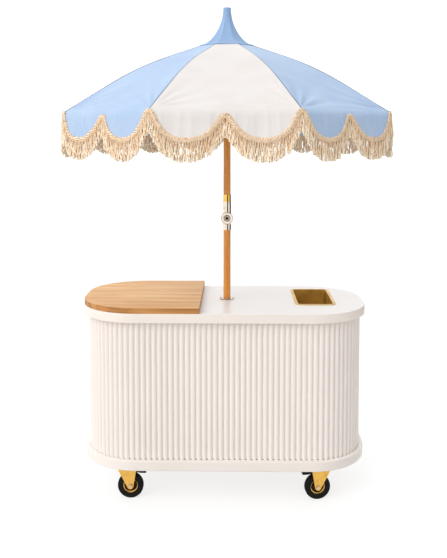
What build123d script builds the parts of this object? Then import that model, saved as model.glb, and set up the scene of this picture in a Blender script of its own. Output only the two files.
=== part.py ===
from build123d import *
import os
from math import asin, atan2, cos, degrees, hypot, radians, sin, sqrt, tan

# Vending cart with a folding parasol, in millimetres: Z up, front -Y, origin on the floor under the pole

# Cabinet outline and slabs
counter_length = 1400
counter_depth = 700
counter_corner = 285
counter_thickness = 46
counter_height = 930
counter_overhang = 23
base_overhang = 20
base_thickness = 48
base_underside = 172
slab_rounding = 4
cart_offset = -13

# Fluted cladding and the bent wall behind it
flute_pitch = 26.5
flute_radius = 12.2
flute_rise = 9.2
cladding_backing = 3
wall_thickness = 12
back_opening = 900

# Inside the cabinet
shelf_height = 520
shelf_thickness = 18
shelf_gap = 0.3
cleat_width = 20
cleat_height = 30
front_cleat_length = 760
side_cleat_length = 120

# Cutting board and its locating pegs
board_thickness = 28
board_inset = 2
board_edge = -114
board_rounding = 2.5
peg_radius = 6
peg_length = 15
peg_gap = 0.5
peg_places = [(-600, -120), (-600, 120), (-200, 0)]

# Drop-in bin
bin_length = 200
bin_width = 395
bin_corner = 24
bin_rim = 12
bin_rim_thickness = 3
bin_wall = 1.5
bin_drop = 190
bin_bottom_rounding = 16
bin_gap = 1
bin_from_end = 248
bin_y = 49

# Parasol pole and its socket
pole_radius = 18
pole_gap = 0.5
socket_wall = 4.5
socket_floor = 6
socket_gap = 0.3
flange_radius = 38
flange_thickness = 5
flange_bevel = 2
socket_screw_circle = 31
socket_screw_count = 4
socket_screw_radius = 2
socket_screw_head = 4.5
socket_screw_head_height = 2.2
socket_screw_length = 25
screw_gap = 0.2

# Casters
caster_spread = 474
caster_stance = 245
caster_trail = 20
caster_headings = {"front_left": 0, "front_right": 188, "rear_left": -6, "rear_right": 176}
wheel_radius = 62.5
tyre_width = 30
tyre_rounding = 7
rim_radius = 38
rim_wall = 4
rim_width = 26
web_thickness = 8
hub_radius = 12
hub_length = 35
axle_radius = 5
axle_gap = 0.1
axle_head_radius = 9
axle_head_length = 5
fit_gap = 0.1
plate_length = 105
plate_width = 85
plate_thickness = 5
swivel_radius = 30
swivel_height = 14
kingpin_radius = 6
kingpin_head_radius = 11
kingpin_head_height = 4
swivel_gap = 0.3
fork_crown_length = 92
fork_crown_back = 42
fork_crown_thickness = 5
fork_mouth = 320
fork_leg = 4
fork_side_gap = 0.5
fork_foot_radius = 15
bolt_radius = 4
bolt_head_radius = 6.5
bolt_head_height = 5
bolt_length = 35
bolt_gap = 0.2
bolt_spacing_x = 80
bolt_spacing_y = 62

# Brake pedals on the front casters
pedal_pivot_x = 31
pedal_pivot_height = 139
pedal_eye_radius = 6
pedal_pin_radius = 2.5
pedal_pin_gap = 0.1
pedal_width = 33
pedal_pad_x = 84
pedal_pad_height = 137
pedal_pad_length = 24
pedal_pad_thickness = 20

# Tilt joint of the parasol
tilt_height = 1345
knuckle_radius = 30
knuckle_half = 21.5
knuckle_split = 0.3
knuckle_clearance = 2
ferrule_radius = 20.5
ferrule_below = 60
ferrule_above = 83
ferrule_end = 6
pivot_radius = 9
pivot_gap = 0.1
pivot_reach = 8
button_radius = 11
button_gap = 0.3
button_proud = 4
button_stem_radius = 8.5
button_stem = 6.5
button_travel = 3.5
collar_length = 36
collar_wall = 1.6

# Canopy over the ribs: a straight top, a bend and a straight eave
panel_count = 8
first_rib_angle = 22.5
tip_radius = 805
eave_height = 1880
outer_slope = 31.6
inner_slope = 19.2
bend_start = 300
bend_end = 600
bend_steps = 4
vent_radius = 75
canopy_thickness = 2
canopy_gap = 2.2

# Ribs, crown and struts
rib_width = 12
rib_height = 14
rib_tip_setback = 6
tongue_length = 26
tongue_thickness = 7.6
crown_slot = 8.4
crown_pivot_radius = 36
crown_radius = 46
crown_half_height = 16
crown_slot_floor = 24
crown_gap = 0.1
hinge_pin_radius = 2
hinge_pin_gap = 0.1
strut_pivot_radius = 352
strut_pivot_drop = 3
strut_length = 345
strut_height = 10
strut_thickness = 7
strut_eye_radius = 6.5
strut_end_radius = 7
fork_cheek = 3
fork_cheek_gap = 0.4
fork_depth = 44
fork_yoke = 12
runner_pivot_radius = 33
runner_gap = 0.4
runner_radius = 24.5
runner_flange_radius = 44
runner_flange_half = 9
runner_slot = 9
runner_above = 24
runner_below = 46
fold_angle = 61

# Finial post and pagoda cap
post_radius = 9
pole_above_crown = 10
cap_base_radius = 143
cap_top_radius = 19
cap_height = 190
cap_seat_setback = 8
cap_swell = 1.8
cap_waist = 0.6
cap_top_thickness = 5
cap_wall = 2
cap_gap = 0.6
cap_steps = 8
post_gap = 0.3

# Valance and its fringe
valance_thickness = 2.5
valance_gap = 0.3
rib_cusp_drop = 8
panel_cusp_drop = 24
scallop_drop = 128
scallop_roundness = 2.6
cusp_softness = 0.12
scallop_steps = 20
valance_flare = 10
fringe_length = 102
fringe_thickness = 5
fringe_gap = 1

# Heights that follow from the sizes above
base_top = base_underside + base_thickness
counter_underside = counter_height - counter_thickness
wall_height = counter_underside - base_top
cladding_inset = counter_overhang + flute_rise
wall_inset = cladding_inset + cladding_backing
inside_inset = wall_inset + wall_thickness
base_inset = counter_overhang - base_overhang
board_top = counter_height + board_thickness
socket_bore = pole_radius + pole_gap
socket_radius = socket_bore + socket_wall
pole_foot = base_top + socket_floor

# Rib line: radius and height of points on the canopy's ridge, lowered square to it
bend_end_height = eave_height + (tip_radius - bend_end) * tan(radians(outer_slope))
bend_radius = (bend_end - bend_start) / (sin(radians(outer_slope)) - sin(radians(inner_slope)))
bend_centre_radius = bend_end - bend_radius * sin(radians(outer_slope))
bend_centre_height = bend_end_height - bend_radius * cos(radians(outer_slope))


def bend_point(slope, drop):
    """Point of the bend where the ridge falls at this slope."""
    reach = bend_radius - drop
    return (
        bend_centre_radius + reach * sin(radians(slope)),
        bend_centre_height + reach * cos(radians(slope)),
    )


def top_point(radius, drop):
    """Point of the straight top at this radius."""
    start_radius, start_height = bend_point(inner_slope, drop)
    return (radius, start_height + (start_radius - radius) * tan(radians(inner_slope)))


def eave_point(setback, drop):
    """Point of the straight eave, measured back from its tip along the slope."""
    slope = radians(outer_slope)
    return (
        tip_radius - setback * cos(slope) - drop * sin(slope),
        eave_height + setback * sin(slope) - drop * cos(slope),
    )


rib_top_drop = canopy_thickness + canopy_gap
rib_drop = rib_top_drop + rib_height / 2
rib_bottom_drop = rib_top_drop + rib_height
crown_pivot = top_point(crown_pivot_radius, rib_drop)
strut_drop = rib_drop + strut_pivot_drop
strut_slope = degrees(asin((strut_pivot_radius - bend_centre_radius) / (bend_radius - strut_drop)))
strut_pivot = bend_point(strut_slope, strut_drop)
strut_rise = sqrt(strut_length**2 - (strut_pivot[0] - runner_pivot_radius) ** 2)
runner_height = strut_pivot[1] - strut_rise
rib_angles = [first_rib_angle + 360 / panel_count * i for i in range(panel_count)]
half_panel = 180 / panel_count
cap_base_height = top_point(cap_base_radius - cap_seat_setback, 0)[1] + cap_gap
cap_top_height = cap_base_height + cap_height

# The fold: how far the struts turn and the runner travels when the ribs turn down
rib_reach = hypot(strut_pivot[0] - crown_pivot[0], strut_pivot[1] - crown_pivot[1])
open_angle = degrees(atan2(crown_pivot[1] - strut_pivot[1], strut_pivot[0] - crown_pivot[0]))
closed_radius = crown_pivot[0] + rib_reach * cos(radians(open_angle + fold_angle))
closed_height = crown_pivot[1] - rib_reach * sin(radians(open_angle + fold_angle))
closed_rise = sqrt(strut_length**2 - (closed_radius - runner_pivot_radius) ** 2)
runner_travel = runner_height - (closed_height - closed_rise)
strut_open = degrees(atan2(strut_rise, strut_pivot[0] - runner_pivot_radius))
strut_closed = degrees(atan2(closed_rise, closed_radius - runner_pivot_radius))
strut_turn = strut_closed - strut_open + fold_angle


def cabinet_outline(inset, mode=Mode.ADD):
    """The cabinet's rounded outline, moved in from the counter's edge."""
    with Locations((cart_offset, 0)):
        RectangleRounded(
            counter_length - 2 * inset,
            counter_depth - 2 * inset,
            counter_corner - inset,
            mode=mode,
        )


def back_gap():
    """Cuts the open service side out of a wall's outline."""
    with Locations((cart_offset, counter_depth / 4)):
        Rectangle(back_opening, counter_depth / 2, mode=Mode.SUBTRACT)


def radial_plane(angle):
    """Upright plane through the pole's axis: x runs out from the pole and y is up."""
    a = radians(angle)
    return Plane(origin=(0, 0, 0), x_dir=(cos(a), sin(a), 0), z_dir=(sin(a), -cos(a), 0))


def valance_plane(angle):
    """A panel's valance, flared out from the eave: x runs along the eave and y is up."""
    a = radians(angle)
    flare = radians(valance_flare)
    return Plane(
        origin=(eave_distance * cos(a), eave_distance * sin(a), eave_height),
        x_dir=(-sin(a), cos(a), 0),
        z_dir=(cos(a) * cos(flare), sin(a) * cos(flare), sin(flare)),
    )


def bar_corners(start, angle, near, far, half_height):
    """Corners of a straight bar that leaves a point at an angle in an upright plane."""
    along = (cos(radians(angle)), sin(radians(angle)))
    return [
        (start[0] + d * along[0] - s * along[1], start[1] + d * along[1] + s * along[0])
        for d, s in (
            (near, -half_height),
            (far, -half_height),
            (far, half_height),
            (near, half_height),
        )
    ]


os.makedirs("parts", exist_ok=True)

# Counter: a thick rounded slab with the bin's cut-out, the socket's hole and peg holes
board_pegs = [(cart_offset + x, y) for x, y in peg_places]
bin_place = (cart_offset + counter_length / 2 - bin_from_end, bin_y)
bin_body = (bin_length - 2 * bin_rim, bin_width - 2 * bin_rim)
with BuildPart() as counter_top:
    with BuildSketch(Plane.XY.offset(counter_underside)):
        cabinet_outline(0)
    extrude(amount=counter_thickness)
    fillet(counter_top.edges().filter_by(Plane.XY), slab_rounding)
    with BuildSketch(Plane.XY.offset(counter_height)):
        with Locations(bin_place):
            RectangleRounded(bin_body[0] + 2 * bin_gap, bin_body[1] + 2 * bin_gap, bin_corner + bin_gap)
        Circle(socket_radius + socket_gap)
    extrude(amount=-counter_thickness, mode=Mode.SUBTRACT)
    with Locations(*[(x, y, counter_height) for x, y in board_pegs]):
        Hole(peg_radius + peg_gap, peg_length + peg_gap)
    with Locations((0, 0, counter_height)):
        with PolarLocations(socket_screw_circle, socket_screw_count):
            Hole(socket_screw_radius + screw_gap, socket_screw_length)
counter_top.part.label = "counter_top"
export_step(counter_top.part, "parts/counter_top.step")

# Caster places, and the bolts that hold each plate to the base
caster_places = {
    name: (
        cart_offset + (caster_spread if "right" in name else -caster_spread),
        caster_stance if "rear" in name else -caster_stance,
    )
    for name in caster_headings
}
bolt_places = [
    (x + sx * bolt_spacing_x / 2, y + sy * bolt_spacing_y / 2)
    for x, y in caster_places.values()
    for sx in (-1, 1)
    for sy in (-1, 1)
]

# Base slab with blind holes for the caster bolts
with BuildPart() as base_slab:
    with BuildSketch(Plane.XY.offset(base_underside)):
        cabinet_outline(base_inset)
    extrude(amount=base_thickness)
    fillet(base_slab.edges().filter_by(Plane.XY), slab_rounding)
    with BuildSketch(Plane.XY.offset(base_underside)):
        with Locations(*bolt_places):
            Circle(bolt_radius + bolt_gap)
    extrude(amount=bolt_length - plate_thickness + bolt_gap, mode=Mode.SUBTRACT)
base_slab.part.label = "base_slab"
export_step(base_slab.part, "parts/base_slab.step")

# Bent wall: front, ends and short returns, open at the back
with BuildPart() as cabinet_wall:
    with BuildSketch(Plane.XY.offset(base_top)):
        cabinet_outline(wall_inset)
        cabinet_outline(inside_inset, mode=Mode.SUBTRACT)
        back_gap()
    extrude(amount=wall_height)
cabinet_wall.part.label = "cabinet_wall"
export_step(cabinet_wall.part, "parts/cabinet_wall.step")

# Fluted cladding: half-round reeds on a thin backing, glued around the wall
flute_inset = cladding_inset + flute_radius - flute_rise
flute_path = RectangleRounded(
    counter_length - 2 * flute_inset, counter_depth - 2 * flute_inset, counter_corner - flute_inset
).wire()
flute_count = round(flute_path.length / flute_pitch)
flute_points = [flute_path.position_at(i / flute_count) for i in range(flute_count)]
with BuildPart() as fluted_cladding:
    with BuildSketch(Plane.XY.offset(base_top)):
        cabinet_outline(cladding_inset)
        with Locations(*[(cart_offset + p.X, p.Y) for p in flute_points]):
            Circle(flute_radius)
        cabinet_outline(wall_inset, mode=Mode.SUBTRACT)
        back_gap()
    extrude(amount=wall_height)
fluted_cladding.part.label = "fluted_cladding"
export_step(fluted_cladding.part, "parts/fluted_cladding.step")

# Shelf inside the wall, with a hole for the socket tube
with BuildPart() as shelf:
    with BuildSketch(Plane.XY.offset(shelf_height)):
        cabinet_outline(inside_inset + shelf_gap)
        Circle(socket_radius + socket_gap, mode=Mode.SUBTRACT)
    extrude(amount=shelf_thickness)
shelf.part.label = "shelf"
export_step(shelf.part, "parts/shelf.step")

# Cleats screwed to the wall, under the shelf's front edge and ends
inside_half_length = counter_length / 2 - inside_inset
inside_half_depth = counter_depth / 2 - inside_inset
with BuildPart() as shelf_cleats:
    with BuildSketch(Plane.XY.offset(shelf_height)):
        with Locations((cart_offset, cleat_width / 2 - inside_half_depth)):
            Rectangle(front_cleat_length, cleat_width)
        for side in (-1, 1):
            with Locations((cart_offset + side * (inside_half_length - cleat_width / 2), 0)):
                Rectangle(cleat_width, side_cleat_length)
    extrude(amount=-cleat_height)
shelf_cleats.part.label = "shelf_cleats"
export_step(shelf_cleats.part, "parts/shelf_cleats.step")

# Pole socket: a floored tube that stands on the base and has a flange on the counter
with BuildPart() as pole_socket:
    with BuildSketch(Plane.XY.offset(base_top)):
        Circle(socket_radius)
    extrude(amount=counter_height - base_top)
    with BuildSketch(Plane.XY.offset(counter_height)):
        Circle(flange_radius)
    extrude(amount=flange_thickness)
    chamfer(pole_socket.faces().sort_by(Axis.Z)[-1].edges(), flange_bevel)
    with BuildSketch(Plane.XY.offset(pole_foot)):
        Circle(socket_bore)
    extrude(amount=counter_height + flange_thickness - pole_foot, mode=Mode.SUBTRACT)
    with Locations((0, 0, counter_height + flange_thickness)):
        with PolarLocations(socket_screw_circle, socket_screw_count):
            Hole(socket_screw_radius + screw_gap, flange_thickness)
pole_socket.part.label = "pole_socket"
export_step(pole_socket.part, "parts/pole_socket.step")

# Screws through the flange into the counter
screw_top = counter_height + flange_thickness
with BuildPart() as socket_screws:
    with BuildSketch(Plane.XY.offset(screw_top)):
        with PolarLocations(socket_screw_circle, socket_screw_count):
            Circle(socket_screw_head)
    extrude(amount=socket_screw_head_height)
    with BuildSketch(Plane.XY.offset(screw_top)):
        with PolarLocations(socket_screw_circle, socket_screw_count):
            Circle(socket_screw_radius)
    extrude(amount=screw_gap - socket_screw_length)
socket_screws.part.label = "socket_screws"
export_step(socket_screws.part, "parts/socket_screws.step")

# Cutting board: follows the counter's end, with pegs that drop into the counter
with BuildPart() as cutting_board:
    with BuildSketch(Plane.XY.offset(counter_height)):
        cabinet_outline(board_inset)
        with Locations((cart_offset + board_edge, 0)):
            Rectangle(
                counter_length, counter_depth, align=(Align.MIN, Align.CENTER), mode=Mode.SUBTRACT
            )
    extrude(amount=board_thickness)
    fillet(cutting_board.faces().sort_by(Axis.Z)[-1].edges(), board_rounding)
    with BuildSketch(Plane.XY.offset(counter_height)):
        with Locations(*board_pegs):
            Circle(peg_radius)
    extrude(amount=-peg_length)
cutting_board.part.label = "cutting_board"
export_step(cutting_board.part, "parts/cutting_board.step")

# Drop-in bin: a pressed tray with a rounded bottom that hangs by its rim
with BuildPart() as drop_in_bin:
    with BuildSketch(Plane.XY.offset(counter_height)):
        with Locations(bin_place):
            RectangleRounded(*bin_body, bin_corner)
    extrude(amount=-bin_drop)
    fillet(drop_in_bin.faces().sort_by(Axis.Z)[0].edges(), bin_bottom_rounding)
    offset(amount=-bin_wall, openings=drop_in_bin.faces().sort_by(Axis.Z)[-1])
    with BuildSketch(Plane.XY.offset(counter_height)):
        with Locations(bin_place):
            RectangleRounded(bin_length, bin_width, bin_corner + bin_rim)
            RectangleRounded(
                bin_body[0] - 2 * bin_wall,
                bin_body[1] - 2 * bin_wall,
                bin_corner - bin_wall,
                mode=Mode.SUBTRACT,
            )
    extrude(amount=bin_rim_thickness)
drop_in_bin.part.label = "drop_in_bin"
export_step(drop_in_bin.part, "parts/drop_in_bin.step")

# Caster plates: top plate, swivel head and a riveted kingpin, one for each corner
plate_underside = base_underside - plate_thickness
swivel_underside = plate_underside - swivel_height
fork_top = swivel_underside - swivel_gap
fork_crown_underside = fork_top - fork_crown_thickness
kingpin_head_top = fork_crown_underside - swivel_gap
with BuildPart() as caster_plates:
    with BuildSketch(Plane.XY.offset(base_underside)):
        with Locations(*caster_places.values()):
            Rectangle(plate_length, plate_width)
        with Locations(*bolt_places):
            Circle(bolt_radius + bolt_gap, mode=Mode.SUBTRACT)
    extrude(amount=-plate_thickness)
    with BuildSketch(Plane.XY.offset(plate_underside)):
        with Locations(*caster_places.values()):
            Circle(swivel_radius)
    extrude(amount=-swivel_height)
    with BuildSketch(Plane.XY.offset(swivel_underside)):
        with Locations(*caster_places.values()):
            Circle(kingpin_radius)
    extrude(amount=kingpin_head_top - swivel_underside)
    with BuildSketch(Plane.XY.offset(kingpin_head_top)):
        with Locations(*caster_places.values()):
            Circle(kingpin_head_radius)
    extrude(amount=-kingpin_head_height)
caster_plates.part.label = "caster_plates"
export_step(caster_plates.part, "parts/caster_plates.step")

# Bolts up through the plates into the base
with BuildPart() as caster_bolts:
    with BuildSketch(Plane.XY.offset(plate_underside)):
        with Locations(*bolt_places):
            RegularPolygon(bolt_head_radius, 6)
    extrude(amount=-bolt_head_height)
    with BuildSketch(Plane.XY.offset(plate_underside)):
        with Locations(*bolt_places):
            Circle(bolt_radius)
    extrude(amount=bolt_length)
caster_bolts.part.label = "caster_bolts"
export_step(caster_bolts.part, "parts/caster_bolts.step")

# Casters: a tapered fork with its axle, a hub, a tyre and, at the front, a brake pedal
fork_inside = hub_length / 2 + fork_side_gap
fork_outside = fork_inside + fork_leg
axle_point = (caster_trail, wheel_radius)
pedal_pivot = (pedal_pivot_x, pedal_pivot_height)
for name, heading in caster_headings.items():
    turn = radians(heading)
    side_plane = Plane(
        origin=(*caster_places[name], 0),
        x_dir=(cos(turn), sin(turn), 0),
        z_dir=(sin(turn), -cos(turn), 0),
    )
    with BuildPart() as fork:
        with BuildSketch(side_plane):
            crown_middle = fork_crown_length / 2 - fork_crown_back
            with Locations((crown_middle, fork_top - fork_crown_thickness / 2)):
                Rectangle(fork_crown_length, fork_crown_thickness)
            with Locations(axle_point):
                Circle(fork_foot_radius)
            make_hull()
        extrude(amount=fork_outside, both=True)
        with BuildSketch(side_plane):
            with Locations((0, fork_crown_underside)):
                Rectangle(fork_mouth, fork_crown_underside, align=(Align.CENTER, Align.MAX))
        extrude(amount=fork_inside, both=True, mode=Mode.SUBTRACT)
        with BuildSketch(Plane.XY.offset(fork_top)):
            with Locations(caster_places[name]):
                Circle(kingpin_radius + axle_gap)
        extrude(amount=-fork_crown_thickness, mode=Mode.SUBTRACT)
        with BuildSketch(side_plane):
            with Locations(axle_point):
                Circle(axle_radius + axle_gap)
        extrude(amount=fork_outside, both=True, mode=Mode.SUBTRACT)
        if "front" in name:
            with BuildSketch(side_plane):
                with Locations(pedal_pivot):
                    Circle(pedal_pin_radius)
            extrude(amount=fork_outside, both=True)
        with BuildSketch(side_plane):
            with Locations(axle_point):
                Circle(axle_radius)
        extrude(amount=fork_outside + axle_head_length, both=True)
        for side in (-1, 1):
            with BuildSketch(side_plane.offset(side * (fork_outside + axle_gap))):
                with Locations(axle_point):
                    Circle(axle_head_radius)
            extrude(amount=side * (axle_head_length - axle_gap))
    fork.part.label = f"{name}_fork"
    export_step(fork.part, f"parts/{name}_fork.step")

    with BuildPart() as hub:
        with BuildSketch(side_plane):
            with Locations(axle_point):
                Circle(rim_radius)
                Circle(rim_radius - rim_wall, mode=Mode.SUBTRACT)
        extrude(amount=rim_width / 2, both=True)
        with BuildSketch(side_plane):
            with Locations(axle_point):
                Circle(rim_radius - rim_wall)
        extrude(amount=web_thickness / 2, both=True)
        with BuildSketch(side_plane):
            with Locations(axle_point):
                Circle(hub_radius)
        extrude(amount=hub_length / 2, both=True)
        with BuildSketch(side_plane):
            with Locations(axle_point):
                Circle(axle_radius + axle_gap)
        extrude(amount=hub_length / 2, both=True, mode=Mode.SUBTRACT)
    hub.part.label = f"{name}_hub"
    export_step(hub.part, f"parts/{name}_hub.step")

    with BuildPart() as tyre:
        with BuildSketch(side_plane):
            with Locations(axle_point):
                Circle(wheel_radius)
        extrude(amount=tyre_width / 2, both=True)
        fillet(tyre.edges().filter_by(GeomType.CIRCLE), tyre_rounding)
        with BuildSketch(side_plane):
            with Locations(axle_point):
                Circle(rim_radius + fit_gap)
        extrude(amount=tyre_width / 2, both=True, mode=Mode.SUBTRACT)
    tyre.part.label = f"{name}_tyre"
    export_step(tyre.part, f"parts/{name}_tyre.step")

    if "front" in name:
        with BuildPart() as brake_pedal:
            with BuildSketch(side_plane):
                with Locations(pedal_pivot):
                    Circle(pedal_eye_radius)
                with Locations((pedal_pad_x, pedal_pad_height)):
                    Rectangle(pedal_pad_length, pedal_pad_thickness)
                make_hull()
                with Locations(pedal_pivot):
                    Circle(pedal_pin_radius + pedal_pin_gap, mode=Mode.SUBTRACT)
            extrude(amount=pedal_width / 2, both=True)
        brake_pedal.part.label = f"{name}_brake_pedal"
        export_step(brake_pedal.part, f"parts/{name}_brake_pedal.step")

# Lower pole, from the socket's floor into the lower half of the tilt joint
ferrule_bottom = tilt_height - ferrule_below
ferrule_top = tilt_height + ferrule_above
lower_neck = tilt_height - knuckle_radius - knuckle_clearance
upper_neck = tilt_height + knuckle_radius + knuckle_clearance
lower_pole_top = lower_neck - ferrule_end
upper_pole_foot = upper_neck + ferrule_end
with BuildPart() as lower_pole:
    with BuildSketch(Plane.XY.offset(pole_foot)):
        Circle(pole_radius)
    extrude(amount=lower_pole_top - pole_foot)
lower_pole.part.label = "lower_pole"
export_step(lower_pole.part, "parts/lower_pole.step")

# Tilt joint halves: ferrule end, height where it turns half round, pole end, and 1 behind or -1 in front
knuckle_halves = {
    "lower_knuckle": (ferrule_bottom, lower_neck, lower_pole_top, 1),
    "upper_knuckle": (ferrule_top, upper_neck, upper_pole_foot, -1),
}
for name, (end, neck, pole_end, face) in knuckle_halves.items():
    with BuildPart() as knuckle:
        with BuildSketch(Plane.XY.offset(end)):
            Circle(ferrule_radius)
            Circle(pole_radius + fit_gap, mode=Mode.SUBTRACT)
        extrude(amount=pole_end - end)
        with BuildSketch(Plane.XY.offset(pole_end)):
            Circle(ferrule_radius)
        extrude(amount=neck - pole_end)
        with BuildSketch(Plane.XY.offset(neck)):
            Circle(ferrule_radius)
            with Locations((0, face * knuckle_split)):
                Rectangle(
                    2 * ferrule_radius,
                    2 * ferrule_radius,
                    align=(Align.CENTER, Align.MAX if face > 0 else Align.MIN),
                    mode=Mode.SUBTRACT,
                )
        extrude(amount=tilt_height - neck)
        with BuildSketch(Plane.XZ.offset(-face * knuckle_split)):
            with Locations((0, tilt_height)):
                Circle(knuckle_radius)
        extrude(amount=face * (knuckle_split - knuckle_half))
        # The rear half carries the pivot; the front half is bored for it and for the button
        with BuildSketch(Plane.XZ.offset(-face * knuckle_split)):
            with Locations((0, tilt_height)):
                Circle(pivot_radius if face > 0 else pivot_radius + pivot_gap)
        if face > 0:
            extrude(amount=knuckle_split + pivot_reach)
        else:
            extrude(amount=knuckle_half, mode=Mode.SUBTRACT)
            with BuildSketch(Plane.XZ.offset(knuckle_half)):
                with Locations((0, tilt_height)):
                    Circle(button_radius + button_gap)
            extrude(amount=-button_proud, mode=Mode.SUBTRACT)
    knuckle.part.label = name
    export_step(knuckle.part, f"parts/{name}.step")

# Push button in the front of the tilt joint
with BuildPart() as tilt_button:
    with BuildSketch(Plane.XZ.offset(knuckle_half)):
        with Locations((0, tilt_height)):
            Circle(button_radius)
    extrude(amount=button_proud)
    with BuildSketch(Plane.XZ.offset(knuckle_half)):
        with Locations((0, tilt_height)):
            Circle(button_stem_radius)
    extrude(amount=-button_stem)
tilt_button.part.label = "tilt_button"
export_step(tilt_button.part, "parts/tilt_button.step")

# Brass collar on the upper pole
with BuildPart() as brass_collar:
    with BuildSketch(Plane.XY.offset(ferrule_top)):
        Circle(pole_radius + fit_gap + collar_wall)
        Circle(pole_radius + fit_gap, mode=Mode.SUBTRACT)
    extrude(amount=collar_length)
brass_collar.part.label = "brass_collar"
export_step(brass_collar.part, "parts/brass_collar.step")

# Upper pole, through the crown, with a thin post that holds the cap up
crown_top = crown_pivot[1] + crown_half_height
with BuildPart() as upper_pole:
    with BuildSketch(Plane.XY.offset(upper_pole_foot)):
        Circle(pole_radius)
    extrude(amount=crown_top + pole_above_crown - upper_pole_foot)
    with BuildSketch(Plane.XY.offset(crown_top + pole_above_crown)):
        Circle(post_radius)
    extrude(amount=cap_top_height - cap_top_thickness - post_gap - crown_top - pole_above_crown)
upper_pole.part.label = "upper_pole"
export_step(upper_pole.part, "parts/upper_pole.step")

# Crown: a slotted hub with a pin across each slot for a rib
with BuildPart() as crown_hub:
    with BuildSketch(Plane.XY.offset(crown_pivot[1] - crown_half_height)):
        Circle(crown_radius)
        Circle(pole_radius + crown_gap, mode=Mode.SUBTRACT)
        with PolarLocations(crown_slot_floor, panel_count, start_angle=first_rib_angle):
            Rectangle(
                crown_radius, crown_slot, align=(Align.MIN, Align.CENTER), mode=Mode.SUBTRACT
            )
    extrude(amount=2 * crown_half_height)
    for angle in rib_angles:
        with BuildSketch(radial_plane(angle)):
            with Locations(crown_pivot):
                Circle(hinge_pin_radius)
        extrude(amount=crown_slot, both=True)
crown_hub.part.label = "crown_hub"
export_step(crown_hub.part, "parts/crown_hub.step")

# Runner: a barrel that slides on the pole, with a slotted flange for the struts
with BuildPart() as runner:
    with BuildSketch(Plane.XY.offset(runner_height - runner_below)):
        Circle(runner_radius)
    extrude(amount=runner_below + runner_above)
    with BuildSketch(Plane.XY.offset(runner_height - runner_flange_half)):
        Circle(runner_flange_radius)
        with PolarLocations(runner_radius, panel_count, start_angle=first_rib_angle):
            Rectangle(
                runner_flange_radius,
                runner_slot,
                align=(Align.MIN, Align.CENTER),
                mode=Mode.SUBTRACT,
            )
    extrude(amount=2 * runner_flange_half)
    with BuildSketch(Plane.XY.offset(runner_height - runner_below)):
        Circle(pole_radius + runner_gap)
    extrude(amount=runner_below + runner_above, mode=Mode.SUBTRACT)
runner.part.label = "runner"
export_step(runner.part, "parts/runner.step")

# Ribs: bent laths, each with a tongue in the crown and a pin for its strut
bend_middle = (inner_slope + outer_slope) / 2
rib_inner_radius = crown_pivot_radius + tongue_length * cos(radians(inner_slope))
tongue_corners = bar_corners(crown_pivot, -inner_slope, 0, tongue_length + rib_height, rib_height / 2)
rib_inner_top = top_point(rib_inner_radius, rib_top_drop)
rib_inner_bottom = top_point(rib_inner_radius, rib_bottom_drop)
rib_tip_top = eave_point(rib_tip_setback, rib_top_drop)
rib_tip_bottom = eave_point(rib_tip_setback, rib_bottom_drop)
fork_outer = rib_width / 2 + fork_cheek_gap + fork_cheek
for number, angle in enumerate(rib_angles, 1):
    with BuildPart() as rib:
        with BuildSketch(radial_plane(angle)):
            with BuildLine():
                Line(rib_inner_top, bend_point(inner_slope, rib_top_drop))
                ThreePointArc(
                    bend_point(inner_slope, rib_top_drop),
                    bend_point(bend_middle, rib_top_drop),
                    bend_point(outer_slope, rib_top_drop),
                )
                Line(bend_point(outer_slope, rib_top_drop), rib_tip_top)
                Line(rib_tip_top, rib_tip_bottom)
                Line(rib_tip_bottom, bend_point(outer_slope, rib_bottom_drop))
                ThreePointArc(
                    bend_point(outer_slope, rib_bottom_drop),
                    bend_point(bend_middle, rib_bottom_drop),
                    bend_point(inner_slope, rib_bottom_drop),
                )
                Line(bend_point(inner_slope, rib_bottom_drop), rib_inner_bottom)
                Line(rib_inner_bottom, rib_inner_top)
            make_face()
        extrude(amount=rib_width / 2, both=True)
        with BuildSketch(radial_plane(angle)):
            Polygon(*tongue_corners, align=None)
            with Locations(crown_pivot):
                Circle(rib_height / 2)
        extrude(amount=tongue_thickness / 2, both=True)
        with BuildSketch(radial_plane(angle)):
            with Locations(crown_pivot):
                Circle(hinge_pin_radius + hinge_pin_gap)
        extrude(amount=tongue_thickness, both=True, mode=Mode.SUBTRACT)
        with BuildSketch(radial_plane(angle)):
            with Locations(strut_pivot):
                Circle(hinge_pin_radius)
        extrude(amount=fork_outer, both=True)
    rib.part.label = f"rib_{number}"
    export_step(rib.part, f"parts/rib_{number}.step")

# Struts: a fork around the rib, and a flat bar down to the runner's slot
strut_angle = 180 + strut_open
runner_pivot = (runner_pivot_radius, runner_height)
fork_slot_back = 2 * strut_eye_radius
for number, angle in enumerate(rib_angles, 1):
    with BuildPart() as strut:
        with BuildSketch(radial_plane(angle)):
            Polygon(
                *bar_corners(strut_pivot, strut_angle, 0, fork_depth + fork_yoke, strut_height / 2),
                align=None,
            )
            with Locations(strut_pivot):
                Circle(strut_eye_radius)
        extrude(amount=fork_outer, both=True)
        with BuildSketch(radial_plane(angle)):
            Polygon(
                *bar_corners(strut_pivot, strut_angle, -fork_slot_back, fork_depth, fork_slot_back),
                align=None,
            )
        extrude(amount=rib_width / 2 + fork_cheek_gap, both=True, mode=Mode.SUBTRACT)
        with BuildSketch(radial_plane(angle)):
            Polygon(
                *bar_corners(strut_pivot, strut_angle, fork_depth, strut_length, strut_height / 2),
                align=None,
            )
            with Locations(runner_pivot):
                Circle(strut_end_radius)
        extrude(amount=strut_thickness / 2, both=True)
        with BuildSketch(radial_plane(angle)):
            with Locations(strut_pivot):
                Circle(hinge_pin_radius + hinge_pin_gap)
        extrude(amount=fork_outer, both=True, mode=Mode.SUBTRACT)
    strut.part.label = f"strut_{number}"
    export_step(strut.part, f"parts/strut_{number}.step")

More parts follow.
